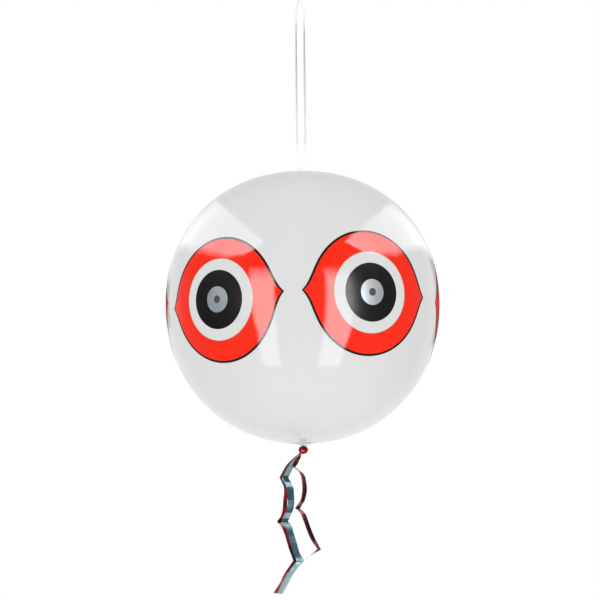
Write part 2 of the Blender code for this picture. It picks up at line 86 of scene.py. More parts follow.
RIBBON_KNOT_RADIUS = 0.006
TAPE_WIDTH = 0.010
STREAMER_DROP = 0.211

# The weld between two panels: its fins' places inwards, its bead's places across the film and its height
SEAM_MEET = 0.00002
SEAM_INNER = 0.0010
BEAD_CREST = 0.00035
BEAD_EDGE = 0.00075
BEAD_SPREAD = 0.00120
BEAD_HEIGHT = 0.00012

# Each place of the weld, from the fin's tip out over the bead: across the film, off it, and how much of the
# weld's lighter line, partly a painted sheen, is there
SEAM_PROFILE = (
    (GAP / 2, -SEAM_FIN, 0.0),
    (SEAM_MEET, -SEAM_INNER, 0.6),
    (SEAM_MEET, BEAD_HEIGHT / 2, 1.0),
    (BEAD_CREST, BEAD_HEIGHT, 1.0),
    (BEAD_EDGE, BEAD_HEIGHT / 2, 0.7),
    (BEAD_SPREAD, 0.0, 0.0),
)
SEAM_CLEAR = BEAD_SPREAD * 1.3
SEAM_FADE = (-32.0, 44.0)
SEAM_FADE_SPAN = 8.0

# The film at the valve: drawn down to the flange, with small pleats round it
FLANGE_DRAW = 0.00042
FLANGE_DRAW_SHARE = 1.25
PLEAT_DEPTH = 0.0001
PLEAT_START_SHARE = 1.5
PLEAT_REACH = 0.032
PLEAT_WAVES = (17, 31)
PLEAT_DRIFT = 3
PLEAT_PHASE = 1.3
FINE_PLEAT_SHARE = 0.6

# The foil: thickness, small crumples, and the knot's ridges
FOIL_THICKNESS = 0.00012
CRUMPLE = 0.00018
CRUMPLE_SCALE = 140
KNOT_WIDE_SHARE = 1.18
KNOT_LEAN = 0.0010
KNOT_RIDGE_SCALES = (2.6, 5.2)
KNOT_RIDGE_SHIFT = Vector((3, 1, 2))
KNOT_SWELL_SHARE = 1.06
KNOT_RIDGE_SHARE = 0.26
# The knot's painted glint: where it sits and how far it spreads
KNOT_GLINT = (-0.0022, -0.0056, -0.7060)
KNOT_GLINT_RADII = (0.0008, 0.0022)

# Foil, with painted light and shade: darkest and lightest tones, and where down a strand each flat stretch
# starts, as a share of STREAMER_DROP, with how lit it is painted, 0 to 1, or with a painted tone of its own
FOLD_SHARE = 0.004
SILVER_TONES = ((0.036, 0.078, 0.110), (0.295, 0.440, 0.500))
RED_TONES = ((0.022, 0.004, 0.005), (0.46, 0.006, 0.006))
# The right strand's red foil, painted dimmer and greyer as its light and shade
RIGHT_RED_TONES = ((0.022, 0.004, 0.005), (0.26, 0.045, 0.050))
# A painted sheen on stretches below the red strand's folds
RED_FOLD_SHEEN = (0.36, 0.045, 0.042)
# A painted highlight where the right strand leaves the knot
KNOT_END_HIGHLIGHT = (0.60, 0.060, 0.090)
# A painted highlight at the right strand's first fold
FOLD_HIGHLIGHT = (0.42, 0.34, 0.35)
# Painted shade on the right strand's last stretch
LAST_STRETCH_SHADE = (0.055, 0.022, 0.028)
# The right strand's halves: the left painted a little lighter, the right darker as painted shade
RIGHT_HALF_SHADES = (1.15, 0.6)
SILVER_PAINTED_LIGHT = (
    (0.0, 0.85), (0.181, 0.0), (0.226, 0.45), (0.261, 0.0), (0.35, 0.3), (0.40, 0.1), (0.42, 0.0),
    (0.439, 0.72), (0.477, 0.0), (0.507, 0.75), (0.53, 0.08), (0.57, 0.02), (0.60, 0.15), (0.65, 0.03),
    (0.76, 0.3), (0.782, 1.0),
)
RED_PAINTED_LIGHT = (
    (0.0, 0.22), (0.20, 0.02), (0.235, 0.18), (0.27, 0.64), (0.345, 0.38), (0.365, 0.14), (0.40, 0.9),
    (0.477, 0.02), (0.508, RED_FOLD_SHEEN), (0.53, 0.5), (0.56, 0.36), (0.675, 0.0), (0.778, 0.25),
    (0.80, 0.2), (0.85, RED_FOLD_SHEEN),
)
RIGHT_PAINTED_LIGHT = (
    (0.0, KNOT_END_HIGHLIGHT), (0.05, 0.15), (0.124, FOLD_HIGHLIGHT), (0.155, 1.0), (0.19, 0.6),
    (0.225, 0.28), (0.27, 0.15), (0.365, (0.25, 0.09, 0.11)), (0.392, 0.1), (0.415, 1.0), (0.445, 0.75),
    (0.475, 0.25), (0.505, 0.08), (0.63, 0.5), (0.68, 0.0), (0.703, LAST_STRETCH_SHADE),
)

# How fine the visible pieces are
FILM_COLUMNS = 30
POLE_ROWS = 56
BALL_ROWS = 70
POLE_BAND = 0.090
IRIS_GRID = (160, 8)
OUTLINE_GRID = (160, 1)
PUPIL_GRID = (120, 6)
DISC_GRID = (72, 5)
DOT_GRID = (40, 3)
CORD_EYE_STEPS = 16
BEND_STEPS = 12
STRAND_STEPS = 24
BEVEL_STEPS = 5
CORD_KNOT_RINGS = 60
CORD_KNOT_COLUMNS = 48
FOIL_KNOT_DIVISIONS = 4
FOIL_STEPS = 9
FOIL_COLUMNS = 6
FLOOR_STEPS = 96

# Edges that bend by more degrees than this look sharp
FILM_SHARP = 50
INK_SHARP = 50
CORD_KNOT_SHARP = 60
FOIL_SHARP = 28
FOIL_KNOT_SHARP = 24

# Heights of the printed layers over the film, so that each covers the edge of the one below
IRIS_LIFT = 0.00010
PUPIL_LIFT = 0.00012
OUTLINE_LIFT = 0.00015
DISC_LIFT = 0.00017
DOT_LIFT = 0.00021
INK_THICKNESS = 0.00004
PRINT_LAP = 0.0006
TAN_EDGE = 0.0005
TAN_FADE_SHARE = 1.4

# Camera and room
CAMERA_DISTANCE = 40.0
CAMERA_PITCH = 6.5
CAMERA_ROLL = 0.55
FRAME_WIDTH = 0.876
SENSOR_WIDTH = 36.0
AIM_LEFT = 0.0037
AIM_UP = 0.0070
CAMERA_REACH = 120
FLOOR = -5.2
FLOOR_RADIUS = 30.0

# Lamps that no reflection shows: where each stands, how wide it is, and its power
FRONT_LAMP = ((0, -2.6, -0.9), 1.8, 5.0)
LOW_LAMP = ((0, -0.5, -2.4), 1.6, 5.5)

# Light panels that the film mirrors, from the ball's centre: upright strips in front, high ones at the
# sides and a low one under the ball. A row is its two edge points and its light. The edges fade over shares
# of the row, and the ends over a share of the step to the next row.
STRIP_PLANE = -1.25
STRIP_SOFT = ((0.30, 0.10), (0.16, 0.16))
LEFT_STRIP = (
    ((-1.16, 0.52), (-0.51, 0.40), 12.0),
    ((-1.09, 0.00), (-0.50, -0.02), 12.0),
    ((-1.00, -0.66), (-0.50, -0.60), 12.0),
    ((-1.18, -1.40), (-0.56, -1.22), 12.0),
    ((-1.36, -1.98), (-0.64, -1.74), 12.0),
)
RIGHT_STRIP = (
    ((0.42, 0.38), (1.00, 0.47), 12.0),
    ((0.42, -0.02), (1.06, 0.00), 12.0),
    ((0.40, -0.60), (1.11, -0.60), 12.0),
    ((0.39, -1.20), (1.05, -1.10), 12.0),
    ((0.36, -1.66), (1.22, -2.00), 12.0),
)
HIGH_PLANE = 1.6
HIGH_SOFT = (0.14, 0.15)
LEFT_HIGH = (
    ((-1.60, 1.62), (-1.95, 2.30), 11.5),
    ((-1.20, 1.18), (-1.50, 2.22), 11.5),
    ((-0.60, 0.90), (-0.95, 2.17), 9.5),
    ((0.00, 0.86), (0.00, 2.12), 6.8),
    ((1.00, 0.89), (1.10, 2.20), 3.9),
    ((2.60, 1.04), (3.20, 2.42), 1.45),
    ((3.60, 1.15), (4.05, 2.51), 0.85),
    ((6.60, 1.48), (6.60, 2.80), 0.3),
)
RIGHT_HIGH = (
    ((-1.35, 1.55), (-1.70, 2.06), 11.5),
    ((-1.00, 1.12), (-1.35, 2.00), 11.5),
    ((-0.55, 0.90), (-0.90, 1.96), 9.5),
    ((0.00, 0.80), (-0.20, 1.94), 6.8),
    ((1.25, 0.88), (1.05, 2.02), 3.9),
    ((3.10, 1.01), (3.00, 2.25), 1.35),
    ((4.00, 1.08), (3.90, 2.34), 0.8),
    ((5.40, 1.20), (5.40, 2.50), 0.3),
)
LOW_PLANE = -1.2
LOW_SOFT = (0.10, 0.10)
LOW_PANEL = (
    ((-0.78, -0.78), (0.95, -0.60), 1.2),
    ((-0.85, 0.40), (0.92, 0.40), 0.9),
    ((-0.90, 1.60), (0.90, 1.45), 0.0),
)
PANEL_END_SHARE = 0.30

# What the film mirrors of the room: its light by height and by depth, from 0 to 1 across the room, and a
# darker lens behind, to the left and right, that the eyes at the ball's rims mirror. LIGHT_BY_RISE is the
# soft light on everything.
MIRROR_BY_RISE = (
    (0.0, 0.9), (0.40, 1.0), (0.59, 1.0), (0.64, 0.81), (0.70, 0.68), (0.80, 0.42), (1.0, 0.25),
)
MIRROR_BY_DEPTH = ((0.0, 0.10), (0.55, 0.12), (0.76, 0.3), (0.86, 0.75), (0.92, 1.0))
LIGHT_BY_RISE = ((0.0, 1.05), (0.5, 1.0), (1.0, 0.96))
NOTCH_RISES = (0.18, 0.33)
NOTCH_SOFT = 0.02
NOTCH_BY_SIDE = ((0.08, 0.0), (0.13, 1.0), (0.42, 1.0), (0.50, 0.0))
NOTCH_LIGHT = 0.10

# The cord: a lit left half and painted shade on the right half, and how strongly it shows at each height,
# as painted shade
CORD_LIT_AND_SHADED = ((0.68, 0.77, 0.87), (0.40, 0.425, 0.46))
CORD_SHADE_BY_HEIGHT = (
    (-0.034, 0.40), (-0.048, 0.10), (-0.070, 0.12), (-0.085, 0.45), (-0.098, 0.62), (-0.134, 0.62),
    (-0.192, 0.42), (-0.222, 0.26), (-0.2545, 0.22), (-0.2570, 0.03),
)

# Colours
FILM_COLOUR = (0.745, 0.745, 0.745)
# The weld's lighter line: partly its own colour, partly a painted sheen
SEAM_COLOUR_AND_SHEEN = (0.785, 0.785, 0.785)
RED_INK = (1.0, 0.030, 0.0125)
TAN_INK = (0.55, 0.36, 0.20)
BLACK_INK = (0.0112, 0.0108, 0.0105)
GREY_INKS = ((0.070, 0.068, 0.060), (0.082, 0.080, 0.072))
HOLOGRAM_TINTS = ((0.3, (0.52, 0.64, 0.70)), (0.5, (0.60, 0.68, 0.73)), (0.7, (0.70, 0.70, 0.68)))
TAB_COLOUR = (0.80, 0.84, 0.88)
TAB_ALPHA = 0.12
FLOOR_SHADES = ((0.0, 0.84), (1.0, 0.88))
VINYL_COLOURS = ((0.3, (0.74, 0.75, 0.75)), (0.7, (0.80, 0.81, 0.81)))
# The knot's red, in random patches from painted shade to painted pink highlight
KNOT_SHADE_AND_HIGHLIGHTS = (
    (0.40, (0.03, 0.001, 0.002)), (0.54, (0.30, 0.004, 0.007)),
    (0.64, (0.60, 0.015, 0.025)), (0.74, (1.0, 0.22, 0.30)),
)
KNOT_GLINT_TONE = (0.75, 0.10, 0.15)

# How far the film's slow waves and the vinyl's grain stand out
FILM_WAVE = 0.0012
VINYL_GRAIN = 0.0002

# Each station of a strand: drop as a share of STREAMER_DROP, side and depth as shares of TAPE_WIDTH, both
# from the knot's middle, the tape's turn about the vertical in degrees, and whether it is creased there.
SILVER_SHARES = (
    (0.100, -1.70, -0.10, 46, False),
    (0.192, -2.74, -0.20, 33, True),
    (0.262, -2.11, -0.05, 7, False),
    (0.322, -2.01, 0.10, 3, False),
    (0.400, -2.07, 0.05, 2, False),
    (0.496, -2.93, -0.10, 4, True),
    (0.528, -2.40, -0.18, -12, False),
    (0.570, -2.12, -0.25, -25, False),
    (0.662, -1.56, -0.40, -25, False),
    (0.720, -1.21, -0.45, -25, False),
    (0.774, -0.61, -0.50, -12, True),
    (0.805, -1.20, -0.46, 30, False),
    (0.862, -2.12, -0.40, 33, False),
    (0.930, -2.93, -0.30, 34, False),
    (1.000, -3.70, -0.20, 36, False),
)
RED_SHARES = (
    (0.100, -2.30, 0.65, 66, False),
    (0.190, -3.41, 0.60, 65, True),
    (0.262, -2.76, 0.60, 64, False),
    (0.345, -2.80, 0.62, 56, False),
    (0.440, -3.01, 0.58, 50, False),
    (0.498, -3.70, 0.52, 48, True),
    (0.530, -3.14, 0.47, 50, False),
    (0.585, -2.70, 0.40, 60, False),
    (0.680, -2.12, 0.28, 58, False),
    (0.772, -1.45, 0.15, 58, True),
    (0.860, -2.80, 0.30, 62, False),
    (0.925, -3.54, 0.30, 70, False),
    (0.993, -4.37, 0.36, 52, False),
)
RIGHT_SHARES = (
    (0.123, -1.55, -0.92, 60, True),
    (0.148, -0.74, -0.50, 60, False),
    (0.180, -0.22, -0.15, 54, False),
    (0.226, -0.02, 0.00, 51, False),
    (0.285, 0.03, 0.10, 48, False),
    (0.345, -0.22, 0.05, 54, False),
    (0.380, -0.66, 0.02, 52, False),
    (0.407, -1.02, 0.00, 46, True),
    (0.442, -0.26, 0.00, 43, False),
    (0.491, 0.15, 0.03, 45, False),
    (0.575, 0.78, 0.07, 45, False),
    (0.637, 1.37, 0.12, 46, False),
    (0.693, 2.08, 0.15, 56, True),
    (0.735, 0.71, 0.40, 96, False),
    (0.775, -0.25, 0.62, 98, False),
)
SILVER_LEAVE_SHARES = (-0.90, -0.10, 0.40)
RED_LEAVE_SHARES = (-0.70, 0.55, 0.50)
RIGHT_LEAVE_SHARES = (-0.55, -0.50, 0.65)
LEAVE_TURNS = {"tail_silver": 96, "tail_red": 52, "tail_right": -42}
GATHER_SHARE = 0.30


def heading(turn):
    """The level direction at a turn from the front, in radians, positive towards +X."""
    return Vector((math.sin(turn), -math.cos(turn), 0))


def reach(rise):
    """How far the film lies from the ball's centre at an angle above its widest line."""
    height, power = (TOP_HEIGHT, TOP_EXPONENT) if rise > 0 else (BOTTOM_HEIGHT, BOTTOM_EXPONENT)
    wide = (math.cos(rise) / BALLOON_RADIUS) ** power
    tall = (abs(math.sin(rise)) / height) ** power
    return (wide + tall) ** (-1 / power)


def profile(rise):
    """The film's distance from the upright axis and its height."""
    return reach(rise) * math.cos(rise), BALL_CENTRE + reach(rise) * math.sin(rise)


def pole_rise(radius, height, power):
    """The angle at which the film is as far as the radius from the upright axis."""
    return math.atan2(height * (1 - (radius / BALLOON_RADIUS) ** power) ** (1 / power), radius)


def outward(rise):
    """The film's outward direction, sideways and up."""
    step = 1e-4
    low, high = profile(rise - step), profile(rise + step)
    along = Vector((high[0] - low[0], high[1] - low[1])).normalized()
    return along.y, -along.x


# Pieces

def link(obj):
    bpy.context.scene.collection.objects.link(obj)
    return obj


def from_bmesh(name, bm):
    mesh = bpy.data.meshes.new(name)
    bm.to_mesh(mesh)
    bm.free()
    return link(bpy.data.objects.new(name, mesh))


def grid(name, rows, wrap=False, fan=False, marks=None):
    """A surface through rows of points; marks gives each point's number for the material."""
    bm = bmesh.new()
    layer = bm.verts.layers.float.new("mark") if marks else None
    placed = []
    for j, row in enumerate(rows):
        made = [bm.verts.new(p) for p in row]
        if marks:
            for i, vert in enumerate(made):
                vert[layer] = marks[j][i]
        placed.append(made)
    for low, high in zip(placed, placed[1:]):
        for i in range(len(low) if wrap else len(low) - 1):
            k = (i + 1) % len(low)
            bm.faces.new((low[i], low[k], high[k], high[i]))
    if fan:
        bm.faces.new(reversed(placed[0]))
    bmesh.ops.recalc_face_normals(bm, faces=bm.faces)
    return from_bmesh(name, bm)


def close_last(obj, rows):
    """Fill the last row of a wrapped grid."""
    bm = bmesh.new()
    bm.from_mesh(obj.data)
    bm.verts.ensure_lookup_table()
    first = (len(rows) - 1) * len(rows[0])
    bm.faces.new([bm.verts[first + k] for k in range(len(rows[0]))])
    bmesh.ops.recalc_face_normals(bm, faces=bm.faces)
    bm.to_mesh(obj.data)
    bm.free()


def face_out(obj):
    """Turn a surface's faces away from the ball's centre."""
    centre = Vector((0, 0, BALL_CENTRE))
    face = max(obj.data.polygons, key=lambda f: (f.center - centre).length)
    if face.normal.dot(face.center - centre) < 0:
        obj.data.flip_normals()


def apply_modifiers(obj):
    graph = bpy.context.evaluated_depsgraph_get()
    made = bpy.data.meshes.new_from_object(obj.evaluated_get(graph))
    obj.modifiers.clear()
    obj.data = made


def thicken(obj, thickness, offset):
    """Give a surface a thickness: inwards at offset -1, outwards at 1."""
    made = obj.modifiers.new("thickness", "SOLIDIFY")
    made.thickness = thickness
    made.offset = offset
    apply_modifiers(obj)


def smooth(obj, angle):
    obj.data.shade_smooth()
    obj.data.set_sharp_from_angle(angle=math.radians(angle))


def place(obj, body, slot, look, *nodes):
    """Give a finished piece its material and body, and hide the CAD nodes it stands for; slot is not used.
    """
    obj.data.materials.append(look)
    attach(obj, body)
    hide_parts(*nodes)
    return obj


# Materials

def colour_ramp(nodes, links, source, stops):
    """A colour that follows a number from stop to stop; a stop's colour may be one grey level."""
    made = nodes.new("ShaderNodeValToRGB")
    elements = made.color_ramp.elements
    while len(elements) < len(stops):
        elements.new(0.5)
    for element, (position, colour) in zip(elements, stops):
        channels = colour if isinstance(colour, tuple) else (colour, colour, colour)
        element.position = position
        element.color = (*channels, 1.0)
    links.new(source, made.inputs["Fac"])
    return made.outputs["Color"]


class Look:
    """A material whose nodes start from one shader."""

    def __init__(self, name, roughness, metallic=0.0, **constant):
        self.material = bpy.data.materials.new(name)
        self.material.use_nodes = True
        self.nodes = self.material.node_tree.nodes
        self.links = self.material.node_tree.links
        self.shader = self.nodes["Principled BSDF"]
        self.shader.inputs["Roughness"].default_value = roughness
        self.shader.inputs["Metallic"].default_value = metallic
        for socket, value in constant.items():
            self.shader.inputs[socket.replace("_", " ")].default_value = value
        self.place = self.nodes.new("ShaderNodeTexCoord").outputs["Object"]

    def noise(self, scale, detail=2.0, roughness=0.5, stretch=None):
        made = self.nodes.new("ShaderNodeTexNoise")
        made.inputs["Scale"].default_value = scale
        made.inputs["Detail"].default_value = detail
        made.inputs["Roughness"].default_value = roughness
        source = self.place
        if stretch:
            mapping = self.nodes.new("ShaderNodeMapping")
            mapping.inputs["Scale"].default_value = stretch
            self.links.new(source, mapping.inputs["Vector"])
            source = mapping.outputs["Vector"]
        self.links.new(source, made.inputs["Vector"])
        return made.outputs["Fac"]

    def ramp(self, source, stops):
        return colour_ramp(self.nodes, self.links, source, stops)

    def grain(self, scale, low, high):
        """A colour in small patches, from low to high."""
        return self.ramp(self.noise(scale), ((0.3, low), (0.7, high)))

    def span(self, source, low, high, start=0.0, end=1.0):
        """A number from start to end as the source goes from low to high."""
        made = self.nodes.new("ShaderNodeMapRange")
        self.links.new(source, made.inputs["Value"])
        for socket, value in (("From Min", low), ("From Max", high), ("To Min", start), ("To Max", end)):
            made.inputs[socket].default_value = value
        return made.outputs["Result"]

    def mix(self, factor, first, second):
        """The first colour, going over to the second as the factor goes from 0 to 1."""
        made = self.nodes.new("ShaderNodeMix")
        made.data_type = "RGBA"
        self.links.new(factor, made.inputs["Factor"])
        for socket, value in (("A", first), ("B", second)):
            target = [s for s in made.inputs if s.name == socket and s.type == "RGBA"][0]
            if isinstance(value, tuple):
                target.default_value = (*value, 1.0)
            else:
                self.links.new(value, target)
        return [s for s in made.outputs if s.type == "RGBA"][0]

    def times(self, first, second):
        made = self.nodes.new("ShaderNodeVectorMath")
        made.operation = "MULTIPLY"
        self.links.new(first, made.inputs[0])
        self.links.new(second, made.inputs[1])
        return made.outputs["Vector"]

    def mark(self):
        """The number that the mesh holds at each point."""
        made = self.nodes.new("ShaderNodeAttribute")
        made.attribute_name = "mark"
        return made.outputs["Fac"]

    def axis(self, name):
        made = self.nodes.new("ShaderNodeSeparateXYZ")
        self.links.new(self.place, made.inputs[0])
        return made.outputs[name]

    def colour(self, source):
        self.links.new(source, self.shader.inputs["Base Color"])
        return self

    def rough(self, scale, low, high):
        """Roughness in small patches, from low to high."""
        source = self.span(self.noise(scale), 0.3, 0.7, low, high)
        self.links.new(source, self.shader.inputs["Roughness"])
        return self

    def bump(self, source, distance, strength):
        made = self.nodes.new("ShaderNodeBump")
        made.inputs["Distance"].default_value = distance
        made.inputs["Strength"].default_value = strength
        self.links.new(source, made.inputs["Height"])
        self.links.new(made.outputs["Normal"], self.shader.inputs["Normal"])
        return self


def shade(colour, level):
    return tuple(channel * level for channel in colour)


def film_look():
    """White film with faint clouds, lighter where a weld is marked: partly the weld's colour, partly a
    painted sheen.
    """
    look = Look("white_film", 0.05, IOR=1.22)
    shades = ((0.35, shade(FILM_COLOUR, 0.985)), (0.65, shade(FILM_COLOUR, 1.01)))
    cloud = look.ramp(look.noise(7.0), shades)
    look.colour(look.mix(look.mark(), cloud, SEAM_COLOUR_AND_SHEEN))
    look.rough(60.0, 0.04, 0.07)
    return look.bump(look.noise(14.0, 1.0), FILM_WAVE, 0.12).material


def ink_look(name, low, high, roughness, scale=220.0, line=None):
    """Printed ink, with a line of another colour where the mesh is marked."""
    look = Look(name, roughness, IOR=1.38)
    ink = look.grain(scale, low, high)
    look.colour(look.mix(look.mark(), ink, line) if line else ink)
    return look.rough(90.0, roughness * 0.93, roughness * 1.07).material


def hologram_look():
    look = Look("holographic_foil", 0.3, metallic=0.85)
    return look.colour(look.ramp(look.noise(45.0), HOLOGRAM_TINTS)).material


def tab_look():
    """Clear vinyl, a little milky."""
    look = Look("clear_tab", 0.08, IOR=1.45, Alpha=TAB_ALPHA)
    look.colour(look.grain(40.0, shade(TAB_COLOUR, 0.94), TAB_COLOUR))
    return look.rough(140.0, 0.10, 0.14).material


def cord_look():
    """Clear cord with painted light and shade: lit left halves, shaded right halves, and more or less shade
    down it.
    """
    look = Look("clear_cord", 0.3, IOR=1.3)
    half = STRAND_SPACING / 2 + CORD_RADIUS
    lit_half, shaded_half = CORD_LIT_AND_SHADED
    stops = ((0.08, lit_half), (0.12, shaded_half), (0.50, shaded_half), (0.52, lit_half), (0.88, lit_half), (0.92, shaded_half))
    look.colour(look.ramp(look.span(look.axis("X"), -half, half), stops))
    # How strongly the cord shows, down its length: painted shade
    down = look.span(look.axis("Z"), 0.0, TOP_POLE)
    fade = look.ramp(down, [(height / TOP_POLE, level) for height, level in CORD_SHADE_BY_HEIGHT])
    look.links.new(fade, look.shader.inputs["Alpha"])
    return look.material


def vinyl_look():
    look = Look("white_vinyl_valve", 0.3, IOR=1.45)
    look.colour(look.ramp(look.noise(120.0, 3.0), VINYL_COLOURS))
    look.rough(200.0, 0.22, 0.4)
    return look.bump(look.noise(500.0), VINYL_GRAIN, 0.2).material


def foil_look(name, dark, light, painted_light, across=(1.0, 1.0)):
    """Creased foil: each flat stretch's light and shade is painted, and across paints the halves lighter or
    darker.
    """
    look = Look(name, 0.20, metallic=0.12, Specular_IOR_Level=0.1)
    down = look.span(look.axis("Z"), RIBBON_KNOT, RIBBON_KNOT - STREAMER_DROP)
    stops = []
    for drop, level in painted_light:
        tone = level
        if not isinstance(level, tuple):
            tone = tuple(a + (b - a) * level for a, b in zip(dark, light))
        if stops:
            stops.append((drop - FOLD_SHARE, stops[-1][1]))
        stops.append((drop, tone))
    tone = look.ramp(down, stops)
    # Random patches painted up to a third lighter, as light on the crumples
    crumple_light = look.ramp(look.noise(110.0, stretch=(1.0, 1.0, 0.45)), ((0.45, 1.0), (0.62, 1.35)))
    # Painted shade across the tape: across sets how light each half is painted
    side = look.ramp(look.mark(), ((0.42, across[0]), (0.58, across[1])))
    return look.colour(look.times(look.times(tone, crumple_light), side)).material


def knot_look():
    """Crumpled red foil in random patches of painted shade and painted highlight, with one painted glint.
    """
    look = Look("crumpled_red_foil", 0.25, metallic=0.5, Specular_IOR_Level=0.2)
    crumpled = look.ramp(look.noise(240.0, roughness=0.6), KNOT_SHADE_AND_HIGHLIGHTS)
    away = look.nodes.new("ShaderNodeVectorMath")
    away.operation = "DISTANCE"
    look.links.new(look.place, away.inputs[0])
    away.inputs[1].default_value = KNOT_GLINT
    near = look.span(away.outputs["Value"], *KNOT_GLINT_RADII, 0.8, 0.0)
    return look.colour(look.mix(near, crumpled, KNOT_GLINT_TONE)).material


# Camera and room

def camera():
    """A long lens far off that looks a little up, rolled as the photo is."""
    pitch = math.radians(CAMERA_PITCH)
    ahead = Vector((0, math.cos(pitch), math.sin(pitch)))
    up = Vector((0, -math.sin(pitch), math.cos(pitch)))
    data = bpy.data.cameras.new("camera")
    data.sensor_width = SENSOR_WIDTH
    data.lens = SENSOR_WIDTH * CAMERA_DISTANCE / FRAME_WIDTH
    data.clip_end = CAMERA_REACH
    obj = link(bpy.data.objects.new("camera", data))
    target = Vector((-AIM_LEFT, 0, BALL_CENTRE)) + up * AIM_UP
    obj.location = target - ahead * CAMERA_DISTANCE
    level = Euler((math.pi / 2 + pitch, 0, 0)).to_matrix()
    roll = Matrix.Rotation(math.radians(CAMERA_ROLL), 3, ahead)
    obj.rotation_euler = (roll @ level).to_euler()
    bpy.context.scene.camera = obj


def panel(name, rows, soft):
    """A light panel that only reflections show, through rows of two points and a light."""

    def edge_row(first, second):
        across = second - first
        return [first - across * soft[0] / 2, first + across * soft[0] / 2,
                second - across * soft[1] / 2, second + across * soft[1] / 2]

    centre = Vector((0, 0, BALL_CENTRE))
    pairs = [(Vector(first) + centre, Vector(second) + centre, light) for first, second, light in rows]
    ends = []
    for (a, b, light), (c, d, _) in ((pairs[0], pairs[1]), (pairs[-1], pairs[-2])):
        outer = (a.lerp(c, -PANEL_END_SHARE), b.lerp(d, -PANEL_END_SHARE), 0.0)
        inner = (a.lerp(c, PANEL_END_SHARE), b.lerp(d, PANEL_END_SHARE), light)
        ends.append((outer, inner))
    pairs = [*ends[0], *pairs[1:-1], *reversed(ends[1])]
    points = [edge_row(first, second) for first, second, _ in pairs]
    marks = [[0.0, light, light, 0.0] for _, _, light in pairs]
    obj = grid(name, points, marks=marks)
    look = bpy.data.materials.new(name)
    look.use_nodes = True
    nodes, links = look.node_tree.nodes, look.node_tree.links
    nodes.clear()
    strength = nodes.new("ShaderNodeAttribute")
    strength.attribute_name = "mark"
    glow = nodes.new("ShaderNodeEmission")
    links.new(strength.outputs["Fac"], glow.inputs["Strength"])
    added = nodes.new("ShaderNodeAddShader")
    links.new(glow.outputs[0], added.inputs[0])
    links.new(nodes.new("ShaderNodeBsdfTransparent").outputs[0], added.inputs[1])
    out = nodes.new("ShaderNodeOutputMaterial")
    links.new(added.outputs[0], out.inputs["Surface"])
    obj.data.materials.append(look)
    obj.visible_camera = False
    obj.visible_diffuse = False
    obj.visible_shadow = False
    obj.visible_transmission = False


def room():
    """White to the camera, a darker room to the film's reflections, and plain soft light on the rest."""
    world = bpy.data.worlds.new("studio")
    bpy.context.scene.world = world
    world.use_nodes = True
    nodes, links = world.node_tree.nodes, world.node_tree.links
    nodes.clear()

    def math_node(operation, *values):
        made = nodes.new("ShaderNodeMath")
        made.operation = operation
        for socket, value in zip(made.inputs, values):
            if isinstance(value, float):
                socket.default_value = value
            else:
                links.new(value, socket)
        return made.outputs[0]

    def ramp(source, *stops):
        return colour_ramp(nodes, links, source, stops)

    def background(level):
        made = nodes.new("ShaderNodeBackground")
        if isinstance(level, tuple):
            made.inputs["Color"].default_value = level
        else:
            links.new(level, made.inputs["Color"])
        return made.outputs[0]

    def choose(factor, first, second):
        made = nodes.new("ShaderNodeMixShader")
        for socket, source in zip(made.inputs, (factor, first, second)):
            links.new(source, socket)
        return made.outputs[0]

    paths = nodes.new("ShaderNodeLightPath").outputs
    axes = nodes.new("ShaderNodeSeparateXYZ")
    links.new(nodes.new("ShaderNodeTexCoord").outputs["Generated"], axes.inputs[0])
    aside, depth, rise = (math_node("MULTIPLY_ADD", axes.outputs[name], 0.5, 0.5) for name in "XYZ")

    side = math_node("ABSOLUTE", axes.outputs["X"])
    level = math.sin(math.radians(CAMERA_PITCH))
    above = math_node("ABSOLUTE", math_node("SUBTRACT", axes.outputs["Z"], level))
    slope = ramp(aside, (0.49, NOTCH_RISES[0]), (0.51, NOTCH_RISES[1]))
    within = math_node("SUBTRACT", math_node("MULTIPLY", side, slope), above)
    inside = ramp(within, (0.0, 0.0), (NOTCH_SOFT, 1.0))
    notch = math_node("MULTIPLY", inside, ramp(side, *NOTCH_BY_SIDE))
    kept = math_node("SUBTRACT", 1.0, math_node("MULTIPLY", notch, 1.0 - NOTCH_LIGHT))
    by_rise = math_node("MULTIPLY", kept, ramp(rise, *MIRROR_BY_RISE))
    mirrored = background(math_node("MULTIPLY", by_rise, ramp(depth, *MIRROR_BY_DEPTH)))

    lit = choose(paths["Is Glossy Ray"], background(ramp(rise, *LIGHT_BY_RISE)), mirrored)
    clear = math_node("MAXIMUM", paths["Is Camera Ray"], paths["Is Transmission Ray"])
    out = nodes.new("ShaderNodeOutputWorld")
    links.new(choose(clear, lit, background((1, 1, 1, 1))), out.inputs["Surface"])


def panels():
    """The light panels; each one's rows get the number of the plane that it lies in."""

    def upright(plane, rows):
        return [((a[0], plane, a[1]), (b[0], plane, b[1]), light) for a, b, light in rows]

    def sideways(plane, rows):
        return [((plane, *a), (plane, *b), light) for a, b, light in rows]

    def level(plane, rows):
        return [((*a, plane), (*b, plane), light) for a, b, light in rows]

    panel("panel_left", upright(STRIP_PLANE, LEFT_STRIP), STRIP_SOFT[0])
    panel("panel_right", upright(STRIP_PLANE, RIGHT_STRIP), STRIP_SOFT[1])
    panel("panel_high_left", sideways(-HIGH_PLANE, LEFT_HIGH), HIGH_SOFT)
    panel("panel_high_right", sideways(HIGH_PLANE, RIGHT_HIGH), HIGH_SOFT)
    panel("panel_low", level(LOW_PLANE, LOW_PANEL), LOW_SOFT)


